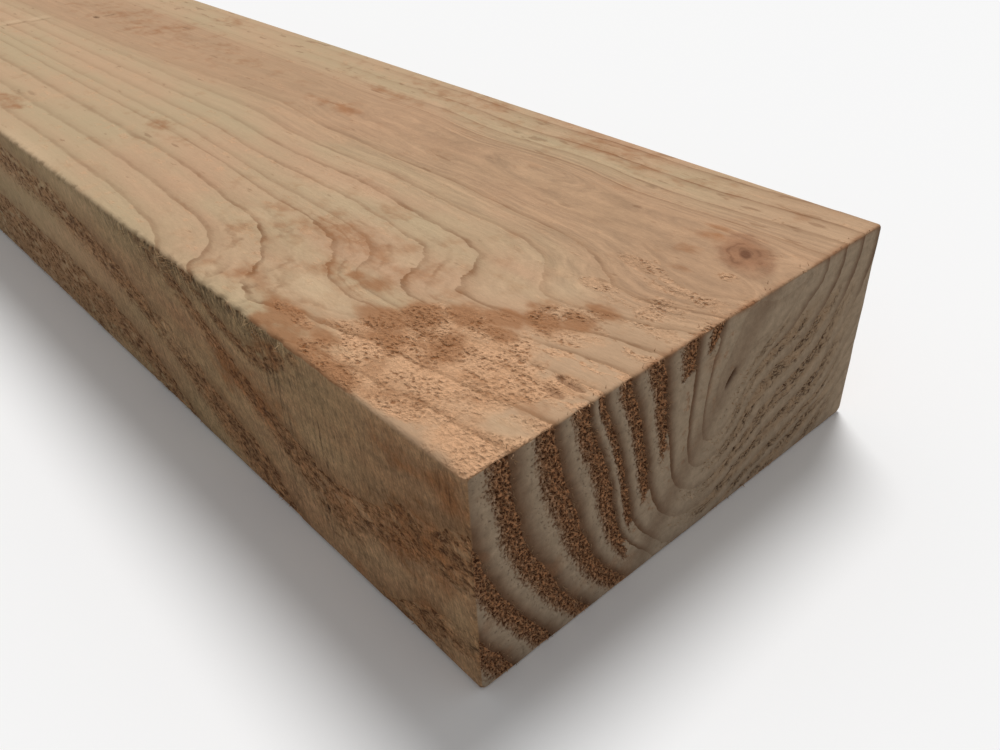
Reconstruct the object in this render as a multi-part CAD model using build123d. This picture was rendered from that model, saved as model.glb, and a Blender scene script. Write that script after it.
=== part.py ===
from build123d import *

import os

# A rough-sawn timber purlin: one straight length of softwood, lying on its wide face.
# X runs along the length, Y across the width and Z up. The origin is the middle of the underside.

# Driving dimensions, in millimetres
LENGTH = 3000.0
WIDTH = 175.0
THICKNESS = 75.0

# The long arrises: the upper pair is as the saw left it, the lower pair is rubbed rounder by handling
UPPER_ARRIS_RADIUS = 1.5
LOWER_ARRIS_RADIUS = 2.5

# The arris around each crosscut end, which stays finer than the long arrises that it runs round
END_ARRIS_RADIUS = 0.8
END_ARRIS_LIMIT_SHARE = 0.9


def sawn_section():
    """The section across the grain, standing on the local X axis: a rectangle with four broken arrises."""
    outline = Rectangle(WIDTH, THICKNESS, align=(Align.CENTER, Align.MIN))
    outline = fillet(outline.vertices().group_by(Axis.Y)[0], LOWER_ARRIS_RADIUS)
    return fillet(outline.vertices().group_by(Axis.Y)[-1], UPPER_ARRIS_RADIUS)


def purlin():
    """The section run along the whole length, with the arris taken off round both crosscut ends."""
    beam = extrude(Plane.YZ * sawn_section(), amount=LENGTH / 2, both=True)
    crosscut_ends = beam.faces().filter_by(Axis.X)
    end_arris = min(
        END_ARRIS_RADIUS,
        END_ARRIS_LIMIT_SHARE * min(UPPER_ARRIS_RADIUS, LOWER_ARRIS_RADIUS),
    )
    return fillet(crosscut_ends.edges(), end_arris)


os.makedirs("parts", exist_ok=True)
export_step(purlin(), "parts/purlin.step")
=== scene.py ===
import math

import bpy
import numpy as np
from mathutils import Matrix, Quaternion, Vector


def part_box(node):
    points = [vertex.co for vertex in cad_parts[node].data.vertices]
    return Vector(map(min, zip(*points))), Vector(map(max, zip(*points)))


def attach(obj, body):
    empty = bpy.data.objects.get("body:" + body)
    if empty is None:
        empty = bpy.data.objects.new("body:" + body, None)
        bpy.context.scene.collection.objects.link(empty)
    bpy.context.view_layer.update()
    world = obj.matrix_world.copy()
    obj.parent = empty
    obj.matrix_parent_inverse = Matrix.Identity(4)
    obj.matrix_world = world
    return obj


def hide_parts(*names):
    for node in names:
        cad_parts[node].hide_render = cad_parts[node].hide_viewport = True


# The looks of a rough-sawn timber purlin, built around its CAD frame.
# X runs along the length to the near end, Y across the width and Z up, in metres.
# Places and sizes on the timber are in millimetres: back from the near end, in from the left face, down
# from the top. A pair named rise or fade says where a finish starts to come or go, and where it has.

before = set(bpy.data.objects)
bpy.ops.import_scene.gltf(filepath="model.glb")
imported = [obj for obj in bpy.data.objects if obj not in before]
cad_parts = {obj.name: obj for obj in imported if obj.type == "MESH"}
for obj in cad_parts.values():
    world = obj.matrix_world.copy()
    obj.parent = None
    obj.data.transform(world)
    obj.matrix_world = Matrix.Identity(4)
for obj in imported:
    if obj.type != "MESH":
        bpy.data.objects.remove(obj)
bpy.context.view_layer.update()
LOW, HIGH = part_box("purlin")
MM = 0.001

# Arrises, as in the CAD part
UPPER_ARRIS_RADIUS = 1.5 * MM
LOWER_ARRIS_RADIUS = 2.5 * MM
END_ARRIS_RADIUS = 0.8 * MM
ARRIS_SEGMENTS = 3

# Growth rings, by number from the heart: their distance from it, and where their edges show on three faces
RING_RADII = (5, 10.5, 18.5, 29, 39, 48.5, 54, 67.5, 85, 98.5, 112, 126, 139, 153, 166)
HEART_BACK = (0, 250, 400)
HEART_LOW = ((99.5, 23), (103.5, 17), (106, 15))
HEART_HIGH = ((135, 3), (131, 5), (129, 6.5))
FIGURED_REACH = 262.0
GRAIN_SWAYS = ((4.0, 620.0), (-1.5, 240.0))  # (how far aside, over what length)
GRAIN_DIP = 9.0
GRAIN_DIP_LENGTH = 230.0
END_LINES = {  # (in from the left, down)
    0: ((104.5, 0), (133, 4)),
    1: ((92.5, 0), (91, 9), (88, 24), (89, 41), (103, 38), (116, 23.5), (130, 19.5), (145, 0)),
    2: ((82.3, 0), (81.5, 14), (80.7, 30), (83, 47), (95, 49.5), (110, 38), (124, 29.8), (140, 24.5),
        (155, 0)),
    3: ((66.5, 0), (69, 10), (70.5, 23), (74, 37), (79, 51), (97, 58), (115, 47.5), (136, 39), (154, 26),
        (165, 3)),
    4: ((54, 0), (58, 12), (61.5, 26), (64, 41), (70, 56), (84, 66), (109, 60.5), (132, 51.5), (153, 43),
        (170, 22)),
    5: ((44.5, 0), (48, 12), (53, 28), (57, 43), (61, 57), (72, 71), (123, 63.5), (146, 57.3), (168, 41)),
    6: ((39.5, 0), (42, 12), (47.5, 27), (50.3, 42), (55, 57), (66, 69), (134, 68), (156, 60.5), (172, 46)),
    7: ((27, 0), (28.7, 11), (33.8, 27), (38, 42), (44, 57), (54, 71), (155, 68), (173, 55)),
    8: ((13, 0), (14, 14), (16, 28), (21.5, 41), (29, 56), (39, 71), (173, 66)),
    9: ((-5, 4), (0.5, 20), (4.5, 34), (11, 50), (22, 68)),
    10: ((0, 53), (4.5, 61.5), (10.5, 71.5)),
}
TOP_LINES = {  # (back, in from the left)
    0: ((8, 100), (22, 100), (40, 107.5), (80, 110), (150, 112), (220, 117), (256, 123), (220, 126.8),
        (150, 130), (80, 131.5)),
    1: ((14, 87.5), (28, 84.5), (40, 89), (60, 97.5), (100, 100), (200, 101), (300, 101), (400, 102),
        (200, 142), (100, 143)),
    2: ((14, 75), (28, 71), (44, 68), (52, 75), (62, 84), (90, 88), (150, 90), (250, 91), (350, 92.5)),
    3: ((15, 65), (30, 57), (48, 51.5), (63, 51), (68.5, 58), (76, 70), (100, 74.5), (170, 77), (300, 80.5),
        (400, 82)),
    4: ((20, 51), (45, 45), (65, 40), (77, 39.5), (83, 48), (90, 59), (108, 63), (180, 66), (300, 69),
        (400, 70)),
    5: ((20, 41), (45, 36), (70, 33), (88, 32.3), (96, 37.5), (103, 48.5), (120, 53), (180, 55.3), (270, 59)),
    6: ((25, 35), (50, 31.5), (75, 29.7), (94, 28.5), (103, 32), (112, 40.5), (128, 46.4), (180, 49),
        (280, 52)),
    7: ((20, 22.5), (45, 18.5), (70, 14.5), (90, 10.5), (104, 4), (113, 9), (124, 19.5), (138, 29),
        (165, 34.5), (300, 40), (400, 42.5)),
    8: ((25, 11), (50, 8), (68, 4.5), (80, 0), (136, 1), (144, 12), (160, 19.5), (215, 23.5), (350, 29)),
    9: ((157, 0), (172, 5.5), (210, 10), (300, 14.5)),
}
LEFT_LINES = {  # (back, down)
    8: ((92, 8), (106, 12), (122, 8)),
    8.45: ((50, 0),),
    8.6: ((26, 0),),
    8.8: ((16, 11), (34, 15), (52, 22)),
    9: ((14, 23), (34, 31), (52, 38), (72, 39), (92, 33), (112, 25), (132, 14)),
    10: ((24, 60), (43, 73), (86, 73), (104, 58), (138, 47), (178, 31), (215, 19), (262, 10), (312, 0)),
    11: ((160, 72), (185, 58), (230, 47), (290, 37), (345, 30)),
}
MARK_REACH = 110.0
MARK_ALONG_SHARE = 0.75
MARK_SOFTNESS_SHARE = 0.008
POINTS_AT_ONCE = 20000

# How far off a face a point may lie and still count as on it
END_TOLERANCE = 0.1
FACE_TOLERANCE = 0.9

# Patches of the top: (back, in from the left, reach back, reach across, strength share)
TORN_PATCHES = (
    (42, 24, 40, 32, 1.0),
    (18, 17, 40, 32, 0.58),
    (56, 5, 22, 8, 0.8),
    (28, 60, 16, 12, 0.8),
    (8, 82, 16, 14, 0.7),
    (35, 100.5, 12, 4, 0.75),
    (38, 82, 7, 3, 0.65),
    (6, 95, 9, 4, 0.75),
    (12, 112, 5, 3, 0.6),
    (88, 10, 14, 3, 0.5),
)
STAINS_AND_ARRIS_SHADE = (
    (68, 27, 13, 8, 1.0),
    (60, 36, 12, 9, 1.0),
    (52, 44, 11, 8, 1.0),
    (43, 50, 10, 8, 1.0),
    (35, 57, 10, 8, 0.9),
    (28, 64, 9, 7, 0.9),
    (26, 72, 8, 6, 0.8),
    (40, 63, 7, 6, 0.75),
    (38, 45, 10, 6, 0.9),
    (120, 11, 10, 6, 0.6),
    (58, 22, 15, 8, 0.8),
    (85, 37, 14, 5, 0.75),
    (93, 36, 6, 4, 0.9),
    (84, 9, 26, 7, 0.8),
    (76, 2, 30, 6, 0.9),
    # This patch on the upper left arris is partly darker wood and partly painted shade among its ragged
    # crumbs.
    (56, 2, 20, 6, 0.9),
    (46, 30, 18, 12, 0.65),
    (26, 26, 40, 17, 0.25),
    (112, 44, 78, 44, 0.33),
    (48, 10, 38, 9, 0.27),
    (31, 131, 8, 5, 0.6),
    (140, 162, 150, 22, 0.3),
    (124, 16, 7, 4, 0.5),
    (134, 8, 6, 4, 0.45),
    (232, 120, 32, 5, 0.7),
    (222, 147, 30, 8, 0.5),
    (32, 119, 9, 4, 0.6),
    (26, 107, 7, 3, 0.5),
    (30, 137, 16, 3, 0.5),
    (430, 125, 170, 26, 0.3),
    (400, 162, 24, 10, 0.4),
    (356, 17, 30, 8, 0.6),
    (268, 53, 40, 8, 0.34),
)
PALE_PATCHES = (
    (93, 22, 20, 7, 1.0),
    (131, 6, 5, 2.8, 1.0),
    (115, 10, 5, 2.6, 0.9),
    (109, 4.4, 5, 2.2, 0.9),
    (121, 20, 6, 2.4, 0.6),
    (57, 60, 11, 10, 0.5),
    (43, 75, 10, 7, 0.8),
    (7, 20, 10, 7, 0.6),
    (92, 52, 10, 5, 0.6),
    (151, 36, 12, 5, 0.7),
    (64, 80, 12, 5, 0.25),
    (130, 66, 60, 12, 0.4),
    (285, 3, 45, 5, 1.0),
    (516, 71, 6, 9, 0.8),
    (512.5, 86, 6, 9, 0.8),
)
GOUGES = (
    (9, 41.5, 6, 1.4, 1.0),
    (9, 36, 4, 1.6, 0.8),
    (415, 137, 5, 1.3, 0.6),
    (358, 29, 6, 1.2, 0.5),
    (72, 147, 3, 0.9, 0.5),
    (147, 152, 3, 0.9, 0.5),
    (83, 115, 3, 0.9, 0.5),
    (486, 111.4, 4, 1.6, 1.0),
    (484, 119, 1.5, 5, 0.6),
    (510, 71, 1.8, 9, 0.5),
    (507, 84, 1.8, 8, 0.4),
    (125, 5.5, 0.9, 3.0, 0.35),
    (110, 9.5, 0.9, 3.0, 0.4),
    (104, 4.6, 0.9, 2.6, 0.35),
    (115, 20, 0.9, 3.0, 0.3),
)
SWIRL = ((104, 34, 66, 50, 1.0),)
# Patches of the left face: (back, down, reach back, reach down, strength share)
LEFT_STAINS = (
    (24, 40, 30, 22, 0.55),
    (8, 9, 16, 9, 0.55),
    (28, 8, 14, 10, 0.45),
    (40, 72, 40, 8, 0.3),
    (110, 30, 40, 12, 0.55),
    (85, 8, 12, 6, 0.6),
)
LEFT_PALE_PATCHES = (
    (157, 37, 24, 9, 0.8),
    (6, 53, 9, 11, 0.9),
    (66, 29, 28, 9, 0.6),
    (230, 5, 48, 8, 0.9),
    (42, 54, 15, 8, 0.5),
    (270, 36, 60, 9, 0.4),
)
SAW_SCORES = (
    (66, 22, 7, 22, 1.0),
    (84, 22, 8, 24, 0.9),
    (75, 26, 28, 28, 0.6),
    (78, 54, 24, 16, 0.7),
    (30, 36, 34, 40, 0.35),
    (14, 10, 14, 10, 0.7),
    (122, 16, 4, 12, 0.7),
    (108, 6, 4, 8, 0.6),
    (190, 40, 60, 40, 0.35),
)

# Where a patch starts to fade and where it ends, as shares of its reach
CRISP_RIM_SHARES = (0.6, 1.05)
SOFT_RIM_SHARES = (0.15, 1.25)

# Torn early wood: how much of it each kind of face has, and where that changes
TORN_SHARE = 0.45
CROSSCUT_TORN_SHARE = 0.7
END_TORN_EDGE = ((0, 96), (9, 88), (14, 73), (32, 72), (44, 65), (57, 56), (64, 56), (75, 60))  # (down, left)
END_TORN_RISE = (-3, 3)
TOP_TORN_SHARE = 0.5
TOP_TORN_FADE = (22, 55)
TOP_TORN_SIDE_FADE = (98, 116)
LEFT_TORN_SHARES = (0.35, 0.45, 0.25)
LEFT_TORN_RISE = (6, 18)
LEFT_TORN_MIDDLE = 120.0
LEFT_TORN_REACH = 38.0
ARRIS_TORN_RISE = (-3, 3)

# Calm wood of the near end, beyond slanting lines: in from the left, plus a share of the way down
CALM_SLOPE_SHARE = 0.74
CALM_RISE = (105, 125)
LOOSE_SHARE = 0.4
LOOSE_RISE = (119, 127)
LOOSE_DOWN_RISE = (14, 22)
DASHED_SLOPE_SHARE = 0.5
DASHED_RISE = (116, 134)
DASHED_FADE = (150, 172)
DASHED_DOWN_RISE = (11, 22)

# The ragged upper left arris, the fringe below it, and the stained arris of the near end
ARRIS_SPREAD_AREA = 5.0
ARRIS_LEAST_SHARE = 0.25
ARRIS_START_RISE = (2, 10)
ARRIS_RISE = (55, 85)
ARRIS_FADE = (300, 380)
FRINGE_DEPTH = 11.0
FRINGE_RISE = (60, 95)
FRINGE_FADE = (150, 240)
END_ARRIS_SPREAD_AREA = 1.5
END_ARRIS_RISE = (40, 70)
SCORED_SHARE = 0.25

# Where the finish changes along, across and through the timber
FAR_RISE = (100, 350)
PINK_RISE = (90, 20)
RIGHT_RINGS_RISE = (122.5, 147.5)
RIGHT_DASHES_RISE = (132.5, 157.5)
CORNER_RISE = (45, 15)
CORNER_SIDE_RISE = (50, 20)
QUIET_FADE = (30, 12)

# The knot in the top (back, left) and the slit at the heart of the near end (left, down)
KNOT = (18.5, 127.5)
KNOT_REACH = (18, 11)
KNOT_TURN = math.radians(48)
SLIT = (99.5, 23.0)
SLIT_REACH = (4.8, 1.5)
SLIT_TURN = math.radians(-52)
SLIT_EDGE_SHARE = 0.6

# Cell sizes of the surface, how far each size reaches, and how torn the wood is that needs it
CELL = 7.3
COARSE_CELL = 3.7
MIDDLE_CELL = 1.85
FINE_CELL = 0.93
FINEST_CELL = 0.47
CLOSE_REACH = 200.0
SEEN_REACH = 420.0
FINEST_END_REACH = 120.0
FINEST_GOUGE_REACH = 30.0
SLIT_CELL_REACH = 7.0
EARLY_SHARE = 0.58
FINE_END_SHARE = 0.1
FINEST_END_SHARE = 0.25
FINE_BAND_SHARE = 0.3
FINE_PATCH_SHARE = 0.1
FINEST_PATCH_SHARE = 0.55
FINE_ARRIS_SHARE = 0.2
LONG_EDGE_SHARE = 1.35
HALVING_TURNS = 7
FINE_REACH = 320.0
LONGEST_CELL = 60.0
CELL_GROWTH_SHARE = 0.12
ARRIS_MARGIN = 0.35

# The relief: how deep or high, and what the crosscut ends have on top of that
GROOVE_DEPTH = 0.1
END_GROOVE_DEPTH = 0.25
PIT_DEPTH = 0.15
END_PIT_DEPTH = 0.3
CRUMB_HEIGHT = 0.2
UNEVEN_DEPTH = 0.5
UNEVEN_SHARE = 0.25
END_UNEVEN_SHARE = 0.75
GOUGE_DEPTH = 0.9
CHIP_DEPTH = 1.1
LATE_HEIGHT = 0.1
WAVE_HEIGHT = 0.15
# The bump: the same, for what is finer than the cells
FUZZ_BUMP = 0.2
STREAK_BUMP = 0.15
SCORE_BUMP = 0.3
PIT_BUMP = 0.2
END_PIT_BUMP = 0.45
CRUMB_BUMP = 0.5
GRIT_BUMP = 0.16
NAP_BUMP = 0.3
HAIR_BUMP = 0.12

# Loose fibres: how many on a square millimetre, and the size, lean and spread of one
END_FIBRES = 1.2
END_FIBRE_REACH = 150.0
LEFT_FIBRES = 0.08
TOP_FIBRES = 0.3
FRINGE_FIBRES = 1.4
FIBRED_EARLY_SHARE = 0.42
TUFT_LENGTHS = (2.9, 7.3, 13.1)
FIBRE_LENGTH = 1.0 * MM
FIBRE_RADIUS = 0.13 * MM
FIBRE_SIDES = 3
FIBRE_LEAN = 0.9
FIBRE_TURN = 6.28
LEAST_FIBRE_SHARES = (0.7, 0.7, 0.4)
MOST_FIBRE_SHARES = (1.6, 1.6, 1.3)
FRINGE_LENGTH_SHARE = 1.2
FIBRE_SEED = 3

# The map that the finish can be baked into: the length over which the near end has most of the room, and the
# rectangle of each face, by its axis and side, as shares of the map (left, right, low, high)
MAP_NAME = "OFBake"
MAP_NEAR_REACH = 150.0
MAP_SHARES = {
    (2, True): (0.0, 1.0, 0.0, 0.32),
    (1, False): (0.0, 1.0, 0.33, 0.51),
    (1, True): (0.0, 1.0, 0.52, 0.62),
    (2, False): (0.0, 1.0, 0.63, 0.77),
    (0, True): (0.0, 0.56, 0.78, 1.0),
    (0, False): (0.58, 1.0, 0.78, 1.0),
}

# Colours, as seen in plain light, and other finishes
YELLOW_WOOD = (190, 166, 132)
PINK_WOOD = (190, 154, 123)
LATE_WOOD = (130, 94, 64)
HEART_WOOD = (181, 145, 114)
PALE_WOOD = (206, 178, 144)
STAINED_WOOD_AND_SHADE = (156, 107, 70)
CRUMB = (216, 167, 127)
# The pits of the torn top: partly darker torn wood, partly painted shade in the hollows between crumbs.
PIT_WOOD_AND_SHADE = (134, 78, 32)
EDGE_WOOD_TINT = (250, 246, 238)
FAR_EDGE_TINT = (250, 255, 255)
EDGE_CRUMB = (174, 132, 97)
EDGE_PIT = (96, 63, 40)
END_CRUMB = (206, 151, 110)
# Also used as the painted shadow inside the gouges and the slit at the heart.
END_PIT_AND_SHADOW = (78, 46, 25)
CALM_WOOD = (179, 154, 128)
CALM_PIT = (96, 71, 52)
ARRIS_WOOD = (150, 98, 62)
FIBRE = (224, 186, 146)
END_LIGHT = (185, 166, 144)
END_LATE = (116, 86, 64)
KNOT_WOOD = (152, 109, 80)
KNOT_HEART = (100, 64, 44)
FIBRE_TINT_SHARE = 0.35
WOOD_ROUGHNESS = 0.9
WOOD_SPECULAR = 0.15
FLOOR_SIZE = 30.0
FLOOR_GAP = 0.3 * MM
FLOOR_SHADE = 0.97
FLOOR_BOUNCE_SHADE = (0.4, 0.35, 0.29)

# The camera: where it stands, the point of the top that it looks at, and its turn about that line
EYE = Vector((1.61613, -0.17602, 0.20477))
LOOKED_AT = Vector((1.47614, -0.05587, 0.075))
CAMERA_ROLL = math.radians(-2.38)
CAMERA_LENS = 32.29
SENSOR_WIDTH = 36.0
NEAREST_SEEN = 0.01

# The light: a soft sun from above, the right and behind, and a faint even sky
SUN_DIRECTION = Vector((-0.35, 0.45, 1.0))
SUN_STRENGTH = 2.15
SUN_ANGLE = math.radians(24)
SKY_STRENGTH = 0.37


def linear(shade):
    """A colour given in display values from 0 to 255, as Blender's linear one."""
    share = np.array(shade) / 255
    return (*np.where(share > 0.04045, ((share + 0.055) / 1.055) ** 2.4, share / 12.92), 1.0)


# The wood figure, worked out at points (back, left, down)


def heart_distance(points):
    """How far each point is from the heart, which is a narrow upright plate near this end."""
    back, left, down = points.T
    low = [np.interp(back, HEART_BACK, column) for column in np.transpose(HEART_LOW)]
    high = [np.interp(back, HEART_BACK, column) for column in np.transpose(HEART_HIGH)]
    across = high[0] - low[0]
    rise = high[1] - low[1]
    share = ((left - low[0]) * across + (down - low[1]) * rise) / (across**2 + rise**2)
    share = np.clip(share, 0, 1)
    return np.hypot(left - low[0] - share * across, down - low[1] - share * rise)


def ring_marks():
    """The points at which a ring's edge is known, and that ring's distance from the heart."""
    places = []
    radii = []
    for lines, spread in (
        (END_LINES, lambda left, down: (0, left, down)),
        (TOP_LINES, lambda back, left: (back, left, 0)),
        (LEFT_LINES, lambda back, down: (back, 0, down)),
    ):
        for ring, line in lines.items():
            places += [spread(*point) for point in line]
            radii += [np.interp(ring, range(len(RING_RADII)), RING_RADII)] * len(line)
    return np.array(places, float), np.array(radii, float)


def falloff(first, second):
    """How strongly each mark of the second set pulls at each point of the first."""
    scale = np.array((MARK_ALONG_SHARE, 1, 1)) / MARK_REACH
    first, second = first * scale, second * scale
    apart = (first**2).sum(1)[:, None] + (second**2).sum(1) - 2 * first @ second.T
    near = np.clip(1 - np.sqrt(np.maximum(apart, 0)), 0, 1)
    return near**4 * (5 - 4 * near)


MARKS, MARK_RADII = ring_marks()
MARK_PULLS = np.linalg.solve(
    falloff(MARKS, MARKS) + MARK_SOFTNESS_SHARE * np.eye(len(MARKS)),
    MARK_RADII - heart_distance(MARKS),
)


def straight_grain(points):
    """Beyond the figured part the rings run straight on, and only wander a little."""
    back, left, down = points.T
    beyond = np.maximum(back - FIGURED_REACH, 0)
    for sway, length in GRAIN_SWAYS:
        left = left + sway * np.sin(beyond / length)
    down = down + GRAIN_DIP * np.tanh(beyond / GRAIN_DIP_LENGTH)
    return np.column_stack((np.minimum(back, FIGURED_REACH), left, down))


def ring_number(points):
    """Which ring each point is in: whole at a ring's outer edge."""
    points = straight_grain(points)
    distance = heart_distance(points)
    for first in range(0, len(points), POINTS_AT_ONCE):
        part = slice(first, first + POINTS_AT_ONCE)
        distance[part] += falloff(points[part], MARKS) @ MARK_PULLS
    return np.interp(distance, (0, *RING_RADII), np.arange(-1, len(RING_RADII)))


def ease(value, low, high):
    """Rises smoothly from 0 at low to 1 at high."""
    share = np.clip((value - low) / (high - low), 0, 1)
    return share * share * (3 - 2 * share)


def patches(first, second, patch_list, rim_shares=CRISP_RIM_SHARES):
    """The strongest of several oval patches at each point of a face."""
    strength = np.zeros(len(first))
    for middle_1, middle_2, reach_1, reach_2, share in patch_list:
        apart = np.hypot((first - middle_1) / reach_1, (second - middle_2) / reach_2)
        strength = np.maximum(strength, share * (1 - ease(apart, *rim_shares)))
    return strength


def to_timber(places):
    """Scene places as (back, left, down) in millimetres."""
    return np.column_stack(
        (HIGH.x - places[:, 0], places[:, 1] - LOW.y, HIGH.z - places[:, 2])
    ) / MM


def from_end(back):
    return HIGH.x - back * MM


def from_left(left):
    return LOW.y + left * MM


def from_top(down):
    return HIGH.z - down * MM


def face_shares(points):
    """Which points lie on the crosscut ends, the near one, the top and the left face."""
    back, left, down = points.T
    length = (HIGH.x - LOW.x) / MM
    near = back < END_TOLERANCE
    crosscut = near | (back > length - END_TOLERANCE)
    top = (down < FACE_TOLERANCE) & ~crosscut
    left_face = (left < FACE_TOLERANCE) & ~crosscut & ~top
    return crosscut, near, top, left_face


def torn_shares(points):
    """How torn the early wood is at each point, and how torn all of the wood is."""
    back, left, down = points.T
    crosscut, near, top, left_face = face_shares(points)
    band = np.full(len(points), TORN_SHARE)
    band[crosscut] = CROSSCUT_TORN_SHARE
    edge = np.interp(down, *np.transpose(END_TORN_EDGE))
    loose = ease(left + CALM_SLOPE_SHARE * down, *LOOSE_RISE) * ease(down, *LOOSE_DOWN_RISE)
    end_band = ease(edge - left, *END_TORN_RISE) + LOOSE_SHARE * loose
    band[near] = end_band[near]
    top_band = TOP_TORN_SHARE * (1 - ease(back, *TOP_TORN_FADE)) * (1 - ease(left, *TOP_TORN_SIDE_FADE))
    band[top] = top_band[top]
    least, lower, middle = LEFT_TORN_SHARES
    nearness = np.exp(-(((back - LEFT_TORN_MIDDLE) / LEFT_TORN_REACH) ** 2))
    left_band = least + lower * ease(down, *LEFT_TORN_RISE) + middle * nearness
    band[left_face] = left_band[left_face]
    patch = np.where(top, patches(back, left, TORN_PATCHES) * ease(left, *ARRIS_TORN_RISE), 0)
    return band, patch


def oval(first, second, middle, reach, turn):
    """1 at the middle of a turned oval, 0 at its edge and outside."""
    along = (first - middle[0]) * math.cos(turn) + (second - middle[1]) * math.sin(turn)
    across = (second - middle[1]) * math.cos(turn) - (first - middle[0]) * math.sin(turn)
    return np.clip(1 - np.hypot(along / reach[0], across / reach[1]), 0, 1)


def knot_share(points):
    back, left, down = points.T
    return np.where(down < FACE_TOLERANCE, oval(back, left, KNOT, KNOT_REACH, KNOT_TURN), 0)


def gouge_share(points):
    """How deep the gouges in the top and the slit in the near end are, and how strongly the finish darkens
    them as painted shadow.
    """
    back, left, down = points.T
    crosscut, near, top, left_face = face_shares(points)
    slit = ease(oval(left, down, SLIT, SLIT_REACH, SLIT_TURN), 0.0, SLIT_EDGE_SHARE)
    return np.where(top, patches(back, left, GOUGES), 0) + np.where(near, slit, 0)


def arris_share(points):
    """How near each point is to the ragged part of the upper left arris."""
    back, left, down = points.T
    along = ARRIS_LEAST_SHARE + (1 - ARRIS_LEAST_SHARE) * ease(back, *ARRIS_RISE)
    along = along * ease(back, *ARRIS_START_RISE) * (1 - ease(back, *ARRIS_FADE))
    return np.exp(-(left**2 + down**2) / ARRIS_SPREAD_AREA) * along


def fringe_share(points):
    """How strongly loose fibre hangs below that arris on the left face."""
    back, left, down = points.T
    crosscut, near, top, left_face = face_shares(points)
    along = ease(back, *FRINGE_RISE) * (1 - ease(back, *FRINGE_FADE))
    return left_face * np.maximum(1 - down / FRINGE_DEPTH, 0) * along


# Shaping the timber


def vertex_places(piece):
    places = np.empty(3 * len(piece.data.vertices))
    piece.data.vertices.foreach_get("co", places)
    return places.reshape(-1, 3)


def edge_ends(piece):
    """The two end places of every edge."""
    ends = np.empty(2 * len(piece.data.edges), np.int32)
    piece.data.edges.foreach_get("vertices", ends)
    return vertex_places(piece)[ends].reshape(-1, 2, 3)


def select_edges(piece, chosen):
    """Leaves the piece in edit mode with only the chosen edges selected."""
    bpy.ops.object.mode_set(mode="EDIT")
    bpy.ops.mesh.select_mode(type="EDGE")
    bpy.ops.mesh.select_all(action="DESELECT")
    bpy.ops.object.mode_set(mode="OBJECT")
    piece.data.edges.foreach_set("select", chosen)
    bpy.ops.object.mode_set(mode="EDIT")


def break_arris(piece, chosen, radius):
    """Rounds the chosen edges off."""
    select_edges(piece, chosen)
    bpy.ops.mesh.bevel(
        offset=radius, segments=ARRIS_SEGMENTS, affect="EDGES", clamp_overlap=False
    )
    bpy.ops.object.mode_set(mode="OBJECT")


def on(value, limit):
    return (abs(value - limit) < END_TOLERANCE * MM).all(axis=1)


def add_blank():
    """A box of the timber's size with its arrises broken."""
    bpy.ops.object.select_all(action="DESELECT")
    bpy.ops.mesh.primitive_cube_add(size=1, location=(LOW + HIGH) / 2)
    blank = bpy.context.object
    blank.scale = HIGH - LOW
    bpy.ops.object.transform_apply(location=True, rotation=True, scale=True)
    ends = edge_ends(blank)
    break_arris(blank, on(ends[:, :, 2], HIGH.z) & (np.ptp(ends[:, :, 0], axis=1) > 1), UPPER_ARRIS_RADIUS)
    ends = edge_ends(blank)
    break_arris(blank, on(ends[:, :, 2], LOW.z) & (np.ptp(ends[:, :, 0], axis=1) > 1), LOWER_ARRIS_RADIUS)
    ends = edge_ends(blank)
    break_arris(blank, on(ends[:, :, 0], HIGH.x) | on(ends[:, :, 0], LOW.x), END_ARRIS_RADIUS)
    return blank


def cut_cells(piece):
    """Divides the faces into cells that grow longer away from the near end."""
    length, width, thickness = (HIGH - LOW) / MM
    stations = []
    back, step = CELL, CELL
    while back < length - CELL / 2:
        stations.append(back)
        if back > FINE_REACH:
            step = min(step * (1 + CELL_GROWTH_SHARE), LONGEST_CELL)
        back += step if back < length - LONGEST_CELL - CELL else CELL
    upper, lower, end = (
        radius / MM + ARRIS_MARGIN for radius in (UPPER_ARRIS_RADIUS, LOWER_ARRIS_RADIUS, END_ARRIS_RADIUS)
    )
    stations = [end, *stations, length - end]
    cuts = [((HIGH.x - back * MM, 0, 0), (1, 0, 0)) for back in stations]
    across = np.linspace(0, width, round(width / CELL) + 1)[1:-1]
    for left in (upper, lower, *across, width - lower, width - upper):
        cuts.append(((0, LOW.y + left * MM, 0), (0, 1, 0)))
    through = np.linspace(0, thickness, round(thickness / CELL) + 1)[1:-1]
    for down in (upper, *through, thickness - lower):
        cuts.append(((0, 0, HIGH.z - down * MM), (0, 0, 1)))
    bpy.ops.object.mode_set(mode="EDIT")
    for place, direction in cuts:
        bpy.ops.mesh.select_all(action="SELECT")
        bpy.ops.mesh.bisect(plane_co=place, plane_no=direction)
    bpy.ops.object.mode_set(mode="OBJECT")


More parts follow.
